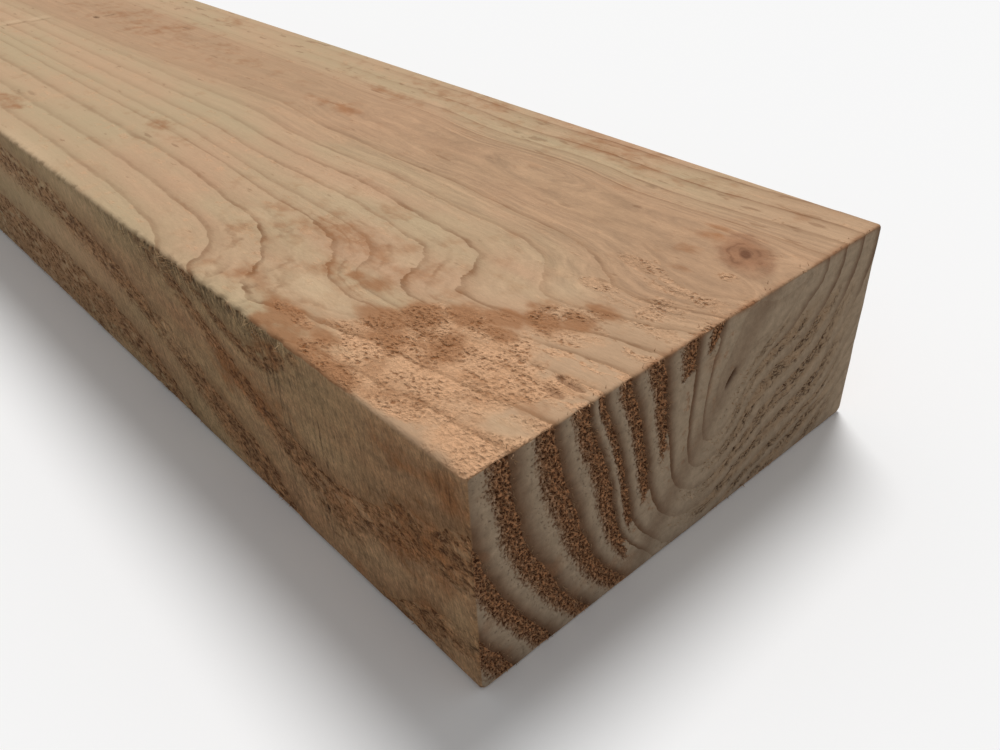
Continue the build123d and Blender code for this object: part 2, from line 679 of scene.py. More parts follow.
def wanted_cell(points):
    """The cell size that each place needs, in millimetres."""
    back, left, down = points.T
    crosscut, near, top, left_face = face_shares(points)
    wanted = np.full(len(points), np.inf)
    close = back < CLOSE_REACH
    early = np.mod(ring_number(points), 1) < EARLY_SHARE
    band, patch = torn_shares(points)
    wanted[crosscut] = COARSE_CELL
    wanted[(back < SEEN_REACH) & (top | left_face)] = COARSE_CELL
    wanted[close & (top | left_face)] = MIDDLE_CELL
    wanted[close & left_face & early] = FINE_CELL
    wanted[near] = MIDDLE_CELL
    wanted[near & early & (band > FINE_END_SHARE)] = FINE_CELL
    wanted[near & early & (band > FINEST_END_SHARE) & (left < FINEST_END_REACH)] = FINEST_CELL
    wanted[top & ((patch > FINE_PATCH_SHARE) | (early & (band > FINE_BAND_SHARE)))] = FINE_CELL
    wanted[top & (patch > FINEST_PATCH_SHARE)] = FINEST_CELL
    wanted[top & (knot_share(points) > 0)] = FINE_CELL
    wanted[near & (np.hypot(left - SLIT[0], down - SLIT[1]) < SLIT_CELL_REACH)] = FINEST_CELL
    for middle_back, middle_left, reach_back, reach_left, share in GOUGES:
        apart = np.hypot(back - middle_back, left - middle_left) - max(reach_back, reach_left)
        finest = FINEST_CELL if middle_back < FINEST_GOUGE_REACH else FINE_CELL
        wanted[top] = np.minimum(wanted, np.maximum(finest, apart))[top]
    wanted[arris_share(points) > FINE_ARRIS_SHARE] = FINE_CELL
    return wanted


def refine(piece):
    """Halves the edges that are too long for their place, until none is."""
    for turn in range(HALVING_TURNS):
        ends = edge_ends(piece)
        lengths = np.linalg.norm(ends[:, 0] - ends[:, 1], axis=1) / MM
        wanted = wanted_cell(to_timber(ends.mean(axis=1)))
        long = lengths > LONG_EDGE_SHARE * wanted
        if not long.any():
            break
        select_edges(piece, long)
        bpy.ops.mesh.subdivide(number_cuts=1)
        bpy.ops.object.mode_set(mode="OBJECT")


def store(piece, name, values):
    """Keeps one value for each vertex, for the relief and the finish to use."""
    attribute = piece.data.attributes.new(name, "FLOAT", "POINT")
    attribute.data.foreach_set("value", np.asarray(values, np.float32))


def store_place(piece):
    """Keeps where each vertex was on the flat faces, so that the finish follows the relief."""
    attribute = piece.data.attributes.new("sawn_place", "FLOAT_VECTOR", "POINT")
    attribute.data.foreach_set("vector", vertex_places(piece).astype(np.float32).ravel())


def store_figure(piece):
    """Keeps the wood figure, and where each kind of finish lies."""
    points = to_timber(vertex_places(piece))
    back, left, down = points.T
    crosscut, near, top, left_face = face_shares(points)
    band, patch = torn_shares(points)
    store(piece, "ring", ring_number(points))
    store(piece, "torn_band", band)
    store(piece, "torn_patch", patch)
    stain_and_shade = np.where(top, patches(back, left, STAINS_AND_ARRIS_SHADE, SOFT_RIM_SHARES), 0)
    store(piece, "stain_and_shade", np.where(left_face, patches(back, down, LEFT_STAINS, SOFT_RIM_SHARES), stain_and_shade))
    pale = np.where(top, patches(back, left, PALE_PATCHES, SOFT_RIM_SHARES), 0)
    store(piece, "pale", np.where(left_face, patches(back, down, LEFT_PALE_PATCHES, SOFT_RIM_SHARES), pale))
    store(piece, "swirl", np.where(top, patches(back, left, SWIRL), 0))
    store(piece, "gouge", gouge_share(points))
    store(piece, "scored", np.where(left_face, patches(back, down, SAW_SCORES), SCORED_SHARE))
    store(piece, "arris", arris_share(points))
    store(piece, "fringe", fringe_share(points))
    nearness = np.exp(-(back**2 + down**2) / END_ARRIS_SPREAD_AREA)
    store(piece, "end_arris", nearness * ease(left, *END_ARRIS_RISE))
    store(piece, "calm", near * ease(left + CALM_SLOPE_SHARE * down, *CALM_RISE))
    dashed = ease(left + DASHED_SLOPE_SHARE * down, *DASHED_RISE) * (1 - ease(left, *DASHED_FADE))
    store(piece, "dashed", near * dashed * ease(down, *DASHED_DOWN_RISE))
    store(piece, "knot", knot_share(points))
    store(piece, "crosscut", crosscut)
    outside = np.minimum(left, (HIGH.y - LOW.y) / MM - left) < FACE_TOLERANCE
    store(piece, "edge_face", outside & ~crosscut & ~top)
    store_place(piece)


def lay_map(piece):
    """Lays each side of the timber in its own rectangle of the map."""
    mesh = piece.data
    corners = np.empty(len(mesh.loops), np.int32)
    mesh.loops.foreach_get("vertex_index", corners)
    starts = np.empty(len(mesh.polygons), np.int32)
    mesh.polygons.foreach_get("loop_start", starts)
    places = vertex_places(piece)[corners]
    low = np.minimum.reduceat(places, starts)
    high = np.maximum.reduceat(places, starts)
    axis = np.argmin(high - low, axis=1)
    middle = np.take_along_axis((low + high) / 2, axis[:, None], axis=1)[:, 0]
    outer = middle > np.array((LOW + HIGH) / 2)[axis]
    counts = np.diff(starts, append=len(corners))
    axis = np.repeat(axis, counts)
    outer = np.repeat(outer, counts)
    shares = (places - np.array(LOW)) / np.array(HIGH - LOW)
    back, left, down = to_timber(places).T
    length = (HIGH.x - LOW.x) / MM
    along = np.log1p(back / MAP_NEAR_REACH) / math.log1p(length / MAP_NEAR_REACH)
    spots = np.zeros((len(corners), 2), np.float32)
    for (face_axis, side), (map_left, map_right, map_low, map_high) in MAP_SHARES.items():
        chosen = (axis == face_axis) & (outer == side)
        first = shares[:, 1] if face_axis == 0 else along
        second = shares[:, 1] if face_axis == 2 else shares[:, 2]
        spots[chosen, 0] = (map_left + (map_right - map_left) * first)[chosen]
        spots[chosen, 1] = (map_low + (map_high - map_low) * second)[chosen]
    mesh.uv_layers.new(name=MAP_NAME)
    mesh.uv_layers[MAP_NAME].data.foreach_set("uv", spots.ravel())


# Node sheets


class Sheet:
    """Lays nodes in one tree and joins them. The same calls serve shaders and Geometry Nodes."""

    def __init__(self, tree):
        self.tree = tree

    def add(self, kind, sockets=None, **settings):
        node = self.tree.nodes.new(kind)
        for name, value in settings.items():
            setattr(node, name, value)
        for name, value in (sockets or {}).items():
            self.feed(node.inputs[name], value)
        return node

    def feed(self, socket, value):
        if isinstance(value, bpy.types.NodeSocket):
            self.tree.links.new(value, socket)
        else:
            socket.default_value = value

    def math(self, operation, *values):
        return self.add("ShaderNodeMath", dict(enumerate(values)), operation=operation).outputs[0]

    def total(self, *values):
        result = values[0]
        for value in values[1:]:
            result = self.math("ADD", result, value)
        return result

    def product(self, *values):
        result = values[0]
        for value in values[1:]:
            result = self.math("MULTIPLY", result, value)
        return result

    def stretch(self, place, scale):
        node = self.add("ShaderNodeVectorMath", {0: place, 1: scale}, operation="MULTIPLY")
        return node.outputs[0]

    def noise(self, place, scale, detail=2.0, roughness=0.5):
        """Uneven values around a half. The scale is how many humps a metre has, before any stretch."""
        sockets = {"Vector": place, "Scale": scale, "Detail": detail, "Roughness": roughness}
        return self.add("ShaderNodeTexNoise", sockets).outputs[0]

    def ease(self, value, low, high, first=0.0, last=1.0):
        """Goes smoothly from first, where the value is low, to last, where it is high."""
        sockets = {0: value, 1: low, 2: high, 3: first, 4: last}
        return self.add("ShaderNodeMapRange", sockets, interpolation_type="SMOOTHSTEP").outputs[0]

    def mix(self, share, first, second, blend="MIX"):
        sockets = {0: share, 6: first, 7: second}
        return self.add("ShaderNodeMix", sockets, data_type="RGBA", blend_type=blend).outputs[2]

    def kept(self, name, kind="FLOAT", output="Fac"):
        """A value that the surface keeps at its vertices."""
        if self.tree.type == "GEOMETRY":
            node = self.add("GeometryNodeInputNamedAttribute", {"Name": name}, data_type=kind)
            return node.outputs["Attribute"]
        return self.add("ShaderNodeAttribute", attribute_name=name).outputs[output]

    def kept_place(self):
        """Where on the flat faces a point was before the relief."""
        return self.kept("sawn_place", "FLOAT_VECTOR", "Vector")

    def full_noise(self, place, scale, detail=3.0):
        """Noise that uses the whole range from 0 to 1."""
        return self.ease(self.noise(place, scale, detail), 0.3, 0.7)

    def shaded(self, colour, shade):
        """A colour made lighter or darker."""
        grey = self.add("ShaderNodeCombineColor", {0: shade, 1: shade, 2: shade}).outputs[0]
        return self.mix(1.0, colour, grey, "MULTIPLY")

    def about(self, value, amount, middle=0.0):
        """A noise value turned to lie around the middle, by the amount either way."""
        return self.math("MULTIPLY_ADD", self.math("SUBTRACT", value, 0.5), 2 * amount, middle)


def geometry_sheet(name):
    """A new Geometry Nodes tree that takes one mesh and gives one."""
    tree = bpy.data.node_groups.new(name, "GeometryNodeTree")
    for way in ("INPUT", "OUTPUT"):
        tree.interface.new_socket("Geometry", in_out=way, socket_type="NodeSocketGeometry")
    sheet = Sheet(tree)
    return sheet, sheet.add("NodeGroupInput").outputs[0]


def figure(sheet, place):
    """What the relief and the finish share: the ring and the share of the way through it, and how torn the
    wood is, with its pits and crumbs."""
    waver = sheet.about(sheet.noise(sheet.stretch(place, (0.1, 1, 1)), 110, 3), 0.06)
    wobble = sheet.about(sheet.noise(sheet.stretch(place, (0.5, 1, 1)), 190, 3), 0.1)
    wobble = sheet.product(wobble, sheet.math("MULTIPLY_ADD", sheet.kept("swirl"), 1.3, 1.0))
    ring = sheet.total(sheet.kept("ring"), waver, wobble)
    share = sheet.math("FRACT", ring)
    crosscut = sheet.kept("crosscut")
    edge_face = sheet.kept("edge_face")
    wide_face = sheet.product(sheet.ease(crosscut, 1, 0), sheet.ease(edge_face, 1, 0))
    calm = sheet.kept("calm")
    rough = sheet.math("SUBTRACT", 1.0, calm)

    # Torn early wood in bands, and torn patches
    speckle = sheet.noise(sheet.stretch(place, (0.6, 1, 1)), 950, 3, 0.65)
    reach = sheet.math("SUBTRACT", share, sheet.about(speckle, 0.25))
    early = sheet.ease(reach, 0.28, 0.55, 1.0, 0.0)
    clump = sheet.full_noise(sheet.stretch(place, (0.5, 1, 1)), 300)
    band = sheet.ease(sheet.total(clump, sheet.kept("torn_band")), 0.75, 1.15)
    band = sheet.product(band, early, sheet.ease(sheet.kept("torn_band"), 0.1, 0.8, 0.5, 1.0), rough)
    ragged = sheet.about(sheet.full_noise(place, 75), 0.4)
    patch = sheet.ease(sheet.total(sheet.kept("torn_patch"), ragged), 0.25, 0.85)

    # Beyond the heart only rows of dashes are torn
    x, y, z = sheet.add("ShaderNodeSeparateXYZ", {0: place}).outputs
    across = sheet.product(ring, 0.01)
    row = sheet.math("MULTIPLY_ADD", z, 0.5, sheet.product(y, 0.86))
    row = sheet.add("ShaderNodeCombineXYZ", {0: sheet.product(row, 0.35), 1: across}).outputs[0]
    dashes = sheet.product(sheet.ease(sheet.noise(row, 300, 2), 0.42, 0.6), sheet.ease(reach, 0.7, 0.45))
    dashes = sheet.product(dashes, sheet.kept("dashed"))
    torn = sheet.math("MAXIMUM", sheet.math("MAXIMUM", band, patch), dashes)

    # Pits: fine on the ends, drawn out on the edge faces, in clusters among crumbs on the wide ones
    dash_pit = sheet.product(sheet.ease(sheet.noise(row, 1600, 3), 0.48, 0.62), calm)
    end_pit = sheet.product(sheet.ease(speckle, 0.4, 0.62), crosscut, rough)
    drawn_out = {0: sheet.product(x, 0.3), 1: across, 2: sheet.product(sheet.total(y, z), 0.6)}
    drawn_out = sheet.add("ShaderNodeCombineXYZ", drawn_out).outputs[0]
    edge_pit = sheet.product(sheet.ease(sheet.noise(drawn_out, 850, 4, 0.7), 0.47, 0.62), edge_face)
    crumble = sheet.noise(sheet.stretch(place, (0.8, 1, 1)), 800, 2, 0.5)
    cluster = sheet.product(sheet.ease(sheet.noise(place, 130, 2), 0.32, 0.54), wide_face)
    corner = sheet.ease(x, *map(from_end, CORNER_RISE))
    corner = sheet.product(corner, sheet.ease(y, *map(from_left, CORNER_SIDE_RISE)))
    sharp = sheet.ease(corner, 0.0, 1.0, 0.7, 0.32)
    wide_pit = sheet.product(sheet.ease(crumble, 0.54, 0.66), cluster, sharp)
    crumbs = sheet.product(sheet.ease(crumble, 0.7, 0.3), cluster, torn)
    pit = sheet.product(torn, sheet.total(dash_pit, end_pit, edge_pit, wide_pit))
    stray = sheet.product(sheet.ease(speckle, 0.58, 0.68), sheet.ease(share, 0.85, 0.4), crosscut, rough)
    stray = sheet.product(stray, sheet.ease(sheet.kept("torn_band"), 0.3, 0.9))
    pit = sheet.math("MAXIMUM", pit, sheet.product(stray, 0.7))
    return ring, share, torn, pit, crumbs


def relief_tree():
    """Digs the torn wood out in pits and leaves the late wood proud."""
    sheet, whole = geometry_sheet("sawn_relief")
    place = sheet.kept_place()
    normal = sheet.add("GeometryNodeInputNormal").outputs[0]
    ring, share, torn, pit, crumbs = figure(sheet, place)
    crosscut = sheet.kept("crosscut")
    rough = sheet.noise(sheet.stretch(place, (0.6, 1, 1)), 480, 3, 0.6)
    groove = sheet.product(torn, sheet.math("MULTIPLY_ADD", crosscut, END_GROOVE_DEPTH, GROOVE_DEPTH))
    rougher = sheet.math("MULTIPLY_ADD", crosscut, END_UNEVEN_SHARE, UNEVEN_SHARE)
    uneven = sheet.product(torn, sheet.about(rough, UNEVEN_DEPTH), rougher)
    dug = sheet.product(pit, sheet.math("MULTIPLY_ADD", crosscut, END_PIT_DEPTH, PIT_DEPTH))
    depth = sheet.total(groove, dug, sheet.product(crumbs, -CRUMB_HEIGHT), uneven)
    depth = sheet.math("MULTIPLY_ADD", sheet.kept("gouge"), GOUGE_DEPTH, depth)
    chip = sheet.ease(sheet.noise(sheet.stretch(place, (1, 0.4, 0.4)), 260, 3, 0.6), 0.45, 0.65)
    depth = sheet.math("MULTIPLY_ADD", sheet.product(chip, sheet.kept("arris")), CHIP_DEPTH, depth)
    proud = sheet.product(sheet.ease(share, 0.6, 0.97), LATE_HEIGHT)
    wave = sheet.about(sheet.noise(sheet.stretch(place, (0.3, 1, 1)), 30), WAVE_HEIGHT)
    height = sheet.math("SUBTRACT", sheet.total(proud, wave), depth)
    sockets = {0: normal, "Scale": sheet.product(height, MM)}
    offset = sheet.add("ShaderNodeVectorMath", sockets, operation="SCALE").outputs[0]
    moved = sheet.add("GeometryNodeSetPosition", {"Geometry": whole, "Offset": offset})
    sheet.add("NodeGroupOutput", {0: moved.outputs[0]})
    return sheet.tree


class WoodTexture:
    """The wood figure on one sheet, with the noises that its finishes are mixed from."""

    def __init__(self, sheet):
        self.sheet = sheet
        self.place = place = sheet.kept_place()
        self.ring, self.share, self.torn, self.pit, self.crumbs = figure(sheet, place)
        self.x, self.y, self.z = x, y, z = sheet.add("ShaderNodeSeparateXYZ", {0: place}).outputs
        self.crosscut = sheet.kept("crosscut")
        self.edge_face = sheet.kept("edge_face")
        self.far = sheet.ease(x, *map(from_end, FAR_RISE))
        self.clear = sheet.ease(self.ring, 0.2, 1.3, 0.25, 1.0)

        # Patches, from small to large
        self.crumbled = sheet.full_noise(sheet.stretch(place, (0.6, 1, 1)), 260)
        self.fleck = sheet.full_noise(place, 125)
        self.mottle = sheet.full_noise(place, 70)
        self.blotch = sheet.full_noise(sheet.stretch(place, (0.3, 1, 1)), 40)

        # Streaks with the grain, fuzz, and grit in torn wood and near the end of the edge faces
        aside = sheet.product(sheet.total(y, z), 0.3)
        along = {0: sheet.product(x, 0.06), 1: sheet.product(self.ring, 0.012), 2: aside}
        with_grain = sheet.add("ShaderNodeCombineXYZ", along).outputs[0]
        self.streak = sheet.noise(with_grain, 520, 4, 0.65)
        self.fuzz = sheet.noise(sheet.stretch(place, (0.35, 1, 1)), 1500, 3, 0.65)
        grit = sheet.ease(sheet.noise(sheet.stretch(place, (0.8, 1, 1)), 1500, 2, 0.6), 0.3, 0.7)
        gritty = sheet.product(self.edge_face, self.by_distance(0.5, 0.0))
        gritty = sheet.math("MAXIMUM", sheet.product(self.torn, 0.75), gritty)
        self.grit = sheet.product(sheet.about(grit, 1.0), gritty, sheet.ease(self.crosscut, 1, 0))

        # Saw scores, nap and hair of the edge faces
        saw_line = sheet.noise(sheet.stretch(place, (1, 1, 0.05)), 900, 3, 0.6)
        self.score = sheet.product(sheet.ease(saw_line, 0.5, 0.66), sheet.kept("scored"), self.edge_face)
        slant = {0: sheet.math("MULTIPLY_ADD", z, 0.3, x), 1: y, 2: sheet.product(z, 0.3)}
        slant = sheet.add("ShaderNodeCombineXYZ", slant).outputs[0]
        self.nap = sheet.product(sheet.about(sheet.noise(slant, 900, 5, 0.75), 1.0), self.edge_face)
        hair = sheet.about(sheet.ease(sheet.noise(slant, 1700, 3, 0.7), 0.34, 0.66), 1.0)
        self.hair = sheet.product(hair, self.edge_face, self.by_distance(1.0, 0.2))

    def by_distance(self, near, far):
        """One value near the end that shows and another far along the timber."""
        return self.sheet.ease(self.far, 0.0, 1.0, near, far)


def late_wood(sheet, wood):
    """A soft dark line at each ring's edge, and in the swirl a second one within it."""
    number = sheet.math("FLOOR", sheet.math("SUBTRACT", wood.ring, 0.5))
    chance = sheet.add("ShaderNodeTexWhiteNoise", {"W": number}, noise_dimensions="1D").outputs["Value"]
    behind = sheet.ease(wood.share, wood.by_distance(0.02, 0.09), 0.0)
    faint = sheet.product(wood.far, sheet.ease(wood.ring, 6.5, 3.5, 0.58, 0.88))
    soft = sheet.math("POWER", sheet.ease(wood.share, 0.4, 1.0), 2.0)
    soft = sheet.math("MAXIMUM", soft, behind)
    soft = sheet.product(soft, sheet.math("MULTIPLY_ADD", faint, -0.1, 0.25))
    line = sheet.math("MAXIMUM", sheet.ease(wood.share, 0.85, 0.97), behind)
    line = sheet.product(line, sheet.math("MULTIPLY_ADD", chance, 0.3, 0.18))
    line = sheet.product(line, sheet.math("MULTIPLY_ADD", wood.mottle, 0.9, 0.2))
    line = sheet.product(line, sheet.math("MULTIPLY_ADD", sheet.kept("swirl"), 0.7, 1.0))
    line = sheet.product(line, sheet.math("SUBTRACT", 1.0, faint))
    second = sheet.total(wood.share, sheet.about(sheet.noise(wood.place, 160, 3), 0.3))
    second = sheet.product(sheet.ease(second, 0.42, 0.55), sheet.ease(second, 0.66, 0.57))
    second = sheet.product(second, sheet.kept("swirl"), wood.mottle, 0.5)
    right = sheet.ease(wood.y, *map(from_left, RIGHT_RINGS_RISE), 1.0, wood.by_distance(1.2, 0.6))
    return sheet.product(sheet.total(soft, line, second), wood.clear, right)


def long_face_colour(sheet, wood):
    """Blotches of two tints, browner near the heart, with rings, torn wood, stains (along the upper left
    arris partly painted shade), pale patches, darker pits partly painted shade, and painted highlights on
    crumbs.
    """
    pink = sheet.product(wood.blotch, wood.by_distance(1.0, 0.7))
    pink = sheet.math("MAXIMUM", pink, sheet.ease(wood.x, *map(from_end, PINK_RISE), 0.0, 0.8))
    colour = sheet.mix(pink, linear(YELLOW_WOOD), linear(PINK_WOOD))
    colour = sheet.mix(sheet.product(sheet.ease(wood.ring, 2.4, 0.4), 0.8), colour, linear(HEART_WOOD))
    late = late_wood(sheet, wood)
    colour = sheet.mix(late, colour, linear(LATE_WOOD))
    dash = sheet.noise(sheet.stretch(wood.place, (0.25, 1, 1)), 330, 2)
    dash = sheet.total(dash, sheet.ease(wood.y, *map(from_left, RIGHT_DASHES_RISE), 0.0, 0.06))
    dash = sheet.ease(dash, 0.68, 0.76)
    colour = sheet.mix(sheet.product(dash, 0.45), colour, linear(LATE_WOOD))
    crumb = sheet.mix(wood.edge_face, linear(CRUMB), linear(EDGE_CRUMB))
    colour = sheet.mix(sheet.product(wood.torn, sheet.ease(wood.ring, 2.0, 4.5, 0.35, 0.8)), colour, crumb)
    colour = sheet.mix(sheet.product(wood.torn, late, 0.6), colour, linear(LATE_WOOD))
    # Stains, and along the ragged upper left arris painted shade as well.
    stain_and_shade = sheet.total(sheet.kept("stain_and_shade"), sheet.about(wood.mottle, 0.19), sheet.about(wood.crumbled, 0.15))
    stain_and_shade = sheet.product(sheet.ease(stain_and_shade, 0.12, 0.8), 0.8)
    colour = sheet.mix(stain_and_shade, colour, linear(STAINED_WOOD_AND_SHADE))
    # Pits are darkened partly as torn wood, and on the top partly as painted shade in the hollows between
    # crumbs.
    pit_wood_and_shade = sheet.mix(wood.edge_face, linear(PIT_WOOD_AND_SHADE), linear(EDGE_PIT))
    colour = sheet.mix(sheet.product(wood.pit, 0.9), colour, pit_wood_and_shade)
    colour = sheet.mix(sheet.product(sheet.kept("pale"), 0.6), colour, linear(PALE_WOOD))
    # Painted highlight: the raised crumbs of torn wood are lightened; the grit varies the tone at random.
    shade = sheet.total(1.0, sheet.product(wood.crumbs, 0.12), sheet.product(wood.grit, 0.16))
    return sheet.shaded(colour, shade)


def with_knot(sheet, wood, colour):
    """Adds the knot: a soft brown swirl with a dark core, and rings that are broken and dark."""
    inside = sheet.ease(sheet.kept("knot"), 0.0, 0.25)
    knot = sheet.total(sheet.kept("knot"), sheet.product(sheet.about(wood.fleck, 0.13), inside))
    colour = sheet.mix(sheet.product(sheet.ease(knot, 0.0, 0.6), 0.9), colour, linear(KNOT_WOOD))
    rings = sheet.ease(sheet.math("SINE", sheet.product(knot, 24.0)), 0.0, 1.0)
    rings = sheet.product(rings, sheet.ease(knot, 0.2, 0.6), sheet.ease(wood.fleck, 0.0, 0.6))
    core = sheet.product(sheet.ease(sheet.kept("knot"), 0.78, 0.9), 0.8)
    return sheet.mix(sheet.math("MAXIMUM", sheet.product(rings, 0.36), core), colour, linear(KNOT_HEART))


def with_streaks(sheet, wood, colour):
    """Adds the streaks of the long faces, and the nap, grain and scores of the edge faces, with painted shade
    in strokes in the fringe below the upper left arris.
    """
    streaky = sheet.ease(wood.ring, 3.0, 1.0, 0.0, 1.6)
    streaky = sheet.total(0.8, sheet.product(wood.edge_face, 1.2), streaky)
    streaks = sheet.product(sheet.about(wood.streak, 0.2), streaky, wood.by_distance(1.0, 0.4))
    shade = sheet.total(1.0, streaks, sheet.product(wood.nap, 0.7), sheet.product(wood.hair, 0.17))
    shade = sheet.math("MULTIPLY_ADD", wood.edge_face, 0.1, shade)
    grain = sheet.about(sheet.ease(sheet.noise(wood.place, 700, 3, 0.65), 0.38, 0.62), 0.2)
    uneven = sheet.total(sheet.about(wood.fleck, 0.11), sheet.about(wood.crumbled, 0.18), grain)
    uneven = sheet.product(uneven, wood.edge_face, wood.by_distance(1.0, 0.3))
    uneven = sheet.product(uneven, sheet.ease(wood.torn, 0.0, 0.8, 0.42, 1.1))
    uneven = sheet.product(uneven, sheet.math("MULTIPLY_ADD", sheet.kept("pale"), -0.5, 1.0))
    shade = sheet.math("MULTIPLY_ADD", wood.score, -0.45, sheet.total(shade, uneven))
    colour = sheet.shaded(colour, sheet.total(shade, sheet.about(wood.blotch, 0.04)))
    # Painted shade: the left face below the ragged arris is darkened in strokes, as the shade among its
    # hanging fibres.
    fringe_shade = sheet.product(sheet.kept("fringe"), sheet.ease(wood.nap, -0.04, 0.08, 0.65, 0.0))
    colour = sheet.shaded(colour, sheet.math("SUBTRACT", 1.0, fringe_shade))
    edge_tint = sheet.mix(wood.far, linear(EDGE_WOOD_TINT), linear(FAR_EDGE_TINT))
    return sheet.mix(wood.edge_face, colour, edge_tint, "MULTIPLY")


def end_colour(sheet, wood):
    """The crosscut ends: mottled grey-brown wood between dug-out reddish bands, calmer beyond the heart."""
    calm = sheet.kept("calm")
    late = sheet.product(sheet.math("POWER", sheet.ease(wood.share, 0.42, 1.0), 1.8), 0.95)
    quiet = sheet.product(calm, sheet.ease(wood.z, *map(from_top, QUIET_FADE), 0.72, 0.1))
    late = sheet.product(late, sheet.math("SUBTRACT", 1.0, quiet), wood.clear)
    colour = sheet.mix(late, linear(END_LIGHT), linear(END_LATE))
    brown = sheet.product(sheet.ease(wood.share, 0.75, 0.4), sheet.kept("dashed"))
    colour = sheet.mix(brown, colour, linear(CALM_WOOD))
    mottled = sheet.about(sheet.noise(wood.place, 330, 4, 0.7), 0.4)
    sawn = sheet.about(sheet.noise(sheet.stretch(wood.place, (1, 0.15, 1)), 600, 2, 0.6), 0.13)
    colour = sheet.shaded(colour, sheet.total(1.0, mottled, sawn))
    valley = sheet.product(calm, sheet.math("SUBTRACT", 1.0, calm), 1.6)
    colour = sheet.mix(valley, colour, linear(END_LATE))
    colour = sheet.mix(wood.torn, colour, sheet.mix(calm, linear(END_CRUMB), linear(CALM_WOOD)))
    return sheet.mix(wood.pit, colour, sheet.mix(calm, linear(END_PIT_AND_SHADOW), linear(CALM_PIT)))


def fine_height(sheet, wood):
    """The relief that is finer than the cells."""
    height = sheet.total(sheet.product(wood.fuzz, FUZZ_BUMP), sheet.product(wood.streak, STREAK_BUMP))
    height = sheet.product(height, wood.by_distance(1.0, 0.4))
    height = sheet.math("MULTIPLY_ADD", wood.score, -SCORE_BUMP, height)
    dug = sheet.math("MULTIPLY_ADD", wood.crosscut, -END_PIT_BUMP, -PIT_BUMP)
    height = sheet.total(height, sheet.product(wood.pit, dug), sheet.product(wood.crumbs, CRUMB_BUMP))
    height = sheet.total(height, sheet.product(wood.grit, GRIT_BUMP), sheet.product(wood.nap, NAP_BUMP))
    return sheet.total(height, sheet.product(wood.hair, HAIR_BUMP))


def wood_figure_group():
    """The colour and the fine relief of sawn softwood, from the values that the surface keeps."""
    tree = bpy.data.node_groups.new("softwood_figure", "ShaderNodeTree")
    tree.interface.new_socket("Colour", in_out="OUTPUT", socket_type="NodeSocketColor")
    tree.interface.new_socket("Height", in_out="OUTPUT", socket_type="NodeSocketFloat")
    sheet = Sheet(tree)
    wood = WoodTexture(sheet)
    colour = with_knot(sheet, wood, long_face_colour(sheet, wood))
    colour = with_streaks(sheet, wood, colour)
    colour = sheet.mix(wood.crosscut, colour, end_colour(sheet, wood))
    arris = sheet.product(sheet.kept("end_arris"), wood.fleck, 0.8)
    colour = sheet.mix(arris, colour, linear(ARRIS_WOOD))
    fuzzy = sheet.product(sheet.about(wood.fuzz, 0.14), wood.by_distance(1.0, 0.3))
    colour = sheet.shaded(colour, sheet.total(1.0, fuzzy))
    # Painted shadow: the gouges in the top and the slit at the heart of the near end are darkened, as the
    # shade inside them.
    dark = sheet.product(sheet.kept("gouge"), sheet.math("MULTIPLY_ADD", wood.crosscut, 0.5, 0.45))
    colour = sheet.mix(dark, colour, linear(END_PIT_AND_SHADOW))
    sheet.add("NodeGroupOutput", {0: colour, 1: fine_height(sheet, wood)})
    return tree


def wood_material(name, figure_group, fibre_share):
    """Sawn wood, lightened towards the colour of loose fibre."""
    material = bpy.data.materials.new(name)
    material.use_nodes = True
    sheet = Sheet(material.node_tree)
    surface = material.node_tree.nodes["Principled BSDF"]
    wood = sheet.add("ShaderNodeGroup", node_tree=figure_group)
    bump = sheet.add("ShaderNodeBump", {"Strength": 1.0, "Distance": MM, "Height": wood.outputs["Height"]})
    colour = wood.outputs["Colour"]
    if fibre_share:
        colour = sheet.mix(fibre_share, colour, linear(FIBRE))
        chance = sheet.add("ShaderNodeTexWhiteNoise", {"Vector": sheet.kept_place()}).outputs["Value"]
        colour = sheet.shaded(colour, sheet.math("MULTIPLY_ADD", chance, 0.6, 0.6))
    else:
        sheet.feed(surface.inputs["Normal"], bump.outputs[0])
    sheet.feed(surface.inputs["Base Color"], colour)
    surface.inputs["Roughness"].default_value = WOOD_ROUGHNESS
    surface.inputs["Specular IOR Level"].default_value = WOOD_SPECULAR
    return material


def fibre_density(points):
    """How many loose fibres stand on each square millimetre."""
    back, left, down = points.T
    crosscut, near, top, left_face = face_shares(points)
    band, patch = torn_shares(points)
    early = np.mod(ring_number(points), 1) < FIBRED_EARLY_SHARE
    tuft = sum(np.sin(back / length + turn) for turn, length in enumerate(TUFT_LENGTHS))
    tuft = np.maximum(tuft, 0) / 2
    density = np.zeros(len(points))
    density[near & early] = (END_FIBRES * band * (left < END_FIBRE_REACH))[near & early]
    density[left_face & early & (back < SEEN_REACH)] = LEFT_FIBRES
    density[top] = TOP_FIBRES * np.exp(-back[top])
    density += FRINGE_FIBRES * fringe_share(points) ** 2 * tuft
    return density


